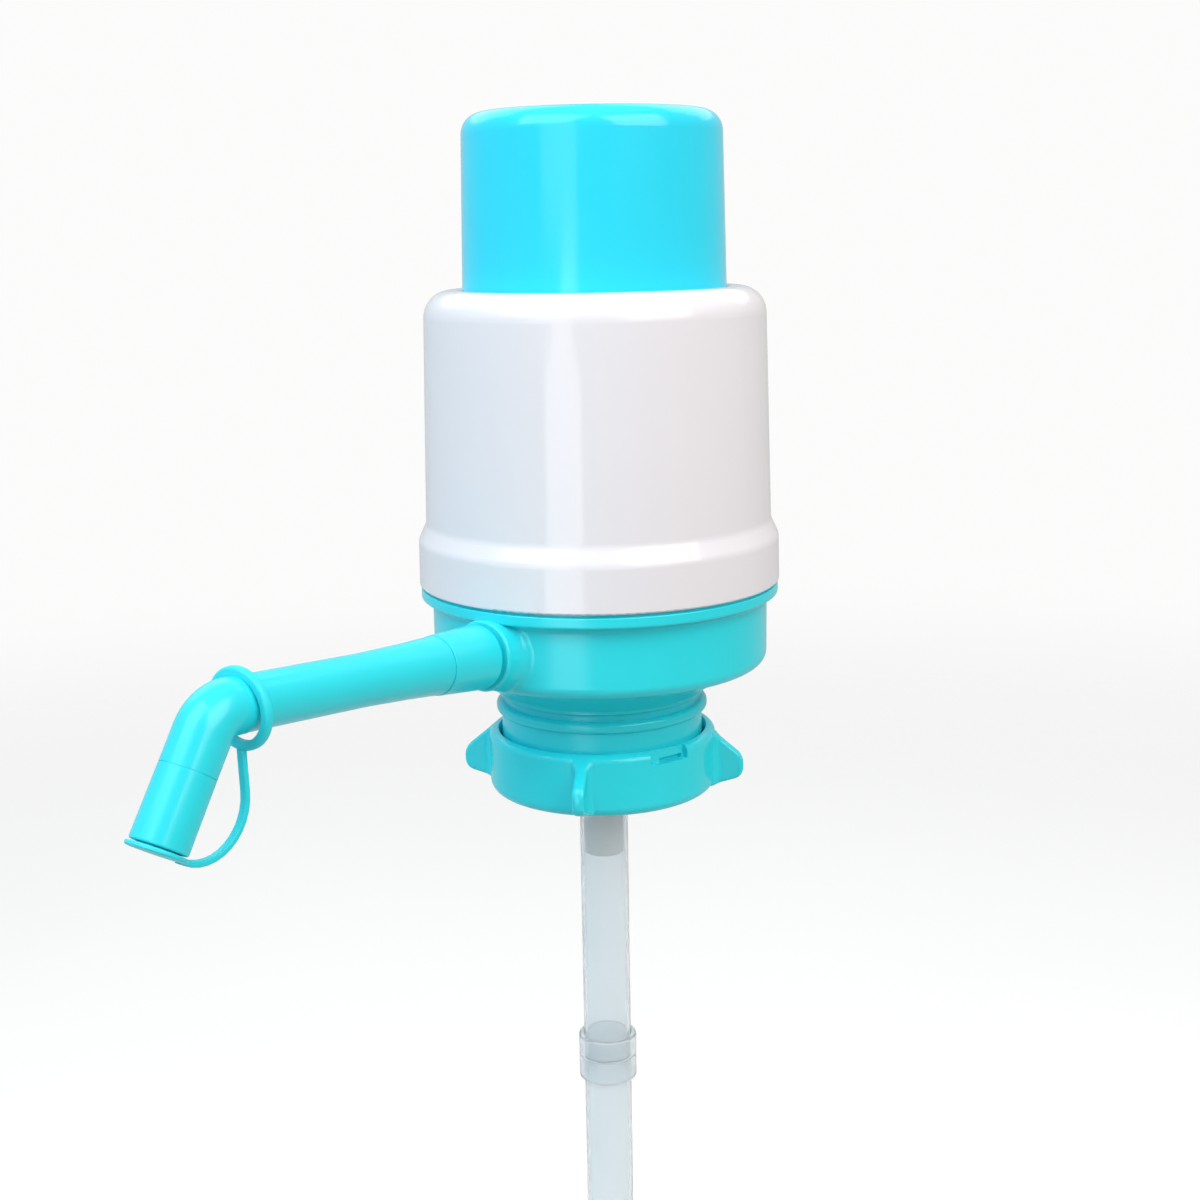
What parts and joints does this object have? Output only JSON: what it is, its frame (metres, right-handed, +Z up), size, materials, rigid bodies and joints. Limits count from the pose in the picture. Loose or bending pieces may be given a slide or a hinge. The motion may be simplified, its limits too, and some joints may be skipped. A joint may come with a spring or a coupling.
{
  "type": "water jug pump",
  "caption": "Hand press pump for a large water bottle: a sliding cap works a bellows inside a round shell, with a bent spout, a screw collar for the neck and a dip tube.",
  "frame": {"origin": "centre of the gasket's underside, where the bottle's lip seats", "axes": "+Z up along the pump's axis, spout along -Y, +X to the right seen from the spout's side"},
  "size_m": [0.1042, 0.2258, 0.6151],
  "materials": {
    "cap_plastic": "glossy cyan moulded plastic",
    "shell_plastic": "glossy white moulded plastic",
    "body_plastic": "satin turquoise moulded plastic",
    "stopper_plastic": "soft turquoise moulded plastic",
    "inner_plastic": "natural white moulded plastic",
    "bellows_plastic": "milky soft moulded plastic",
    "seal_rubber": "pale food grade silicone rubber",
    "tube_plastic": "clear, slightly milky tube"
  },
  "bodies": {
    "base": {"base_housing": "body_plastic", "outer_shell": "shell_plastic", "valve_deck": "inner_plastic", "deck_gasket": "seal_rubber", "bellows": "bellows_plastic", "bellows_clamp_ring": "inner_plastic", "water_elbow": "inner_plastic", "neck_skirt": "body_plastic", "neck_plug": "inner_plastic", "lip_gasket": "seal_rubber", "dip_tube_upper": "tube_plastic", "tube_coupling_upper": "tube_plastic", "dip_tube_middle": "tube_plastic", "tube_coupling_lower": "tube_plastic", "dip_tube_lower": "tube_plastic"},
    "press": {"press_cap": "cap_plastic", "bellows_top_plate": "inner_plastic"},
    "inlet_flap": {"inlet_valve": "seal_rubber"},
    "outlet_flap": {"outlet_valve": "seal_rubber"},
    "spout": {"spout_tube": "body_plastic", "spout_o_ring": "seal_rubber", "nozzle_elbow": "body_plastic", "nozzle_tip": "body_plastic", "stopper_ring": "stopper_plastic", "stopper_strap": "stopper_plastic"},
    "stopper": {"stopper_plug": "stopper_plastic"},
    "grip": {"grip_ring": "inner_plastic"},
    "collar": {"collar_nut": "body_plastic"}
  },
  "joints": [
    {"name": "press_slide", "type": "slide", "parent": "base", "child": "press", "axis": [0, 0, -1], "range_m": [0, 0.042], "stiffness_N_per_m": 250, "springref_m": -0.02, "deforming": ["bellows"]},
    {"name": "inlet_lift", "type": "slide", "parent": "press", "child": "inlet_flap", "axis": [0, 0, -1], "range_m": [0, 0.0015], "stiffness_N_per_m": 20, "springref_m": -0.003},
    {"name": "outlet_lift", "type": "slide", "parent": "base", "child": "outlet_flap", "axis": [0, 0, -1], "range_m": [0, 0.0015], "stiffness_N_per_m": 20, "springref_m": -0.003},
    {"name": "spout_swivel", "type": "hinge", "parent": "base", "child": "spout", "pos_m": [0, 0, 0.0214], "axis": [0, -0.9968, 0.0802], "continuous": true},
    {"name": "stopper_pull", "type": "slide", "parent": "spout", "child": "stopper", "axis": [0, -0.5446, -0.8387], "range_m": [0, 0.012], "deforming": ["stopper_strap"]},
    {"name": "collar_lift", "type": "slide", "parent": "base", "child": "grip", "axis": [0, 0, 1], "range_m": [-0.00601, 0.00001]},
    {"name": "collar_turn", "type": "hinge", "parent": "grip", "child": "collar", "pos_m": [0, 0, 0], "axis": [0, 0, 1], "range_deg": [-540, 0]}
  ],
  "couplings": [
    {"joint": "collar_lift", "follows": "collar_turn", "m_per_rad": 0.00063662}
  ]
}
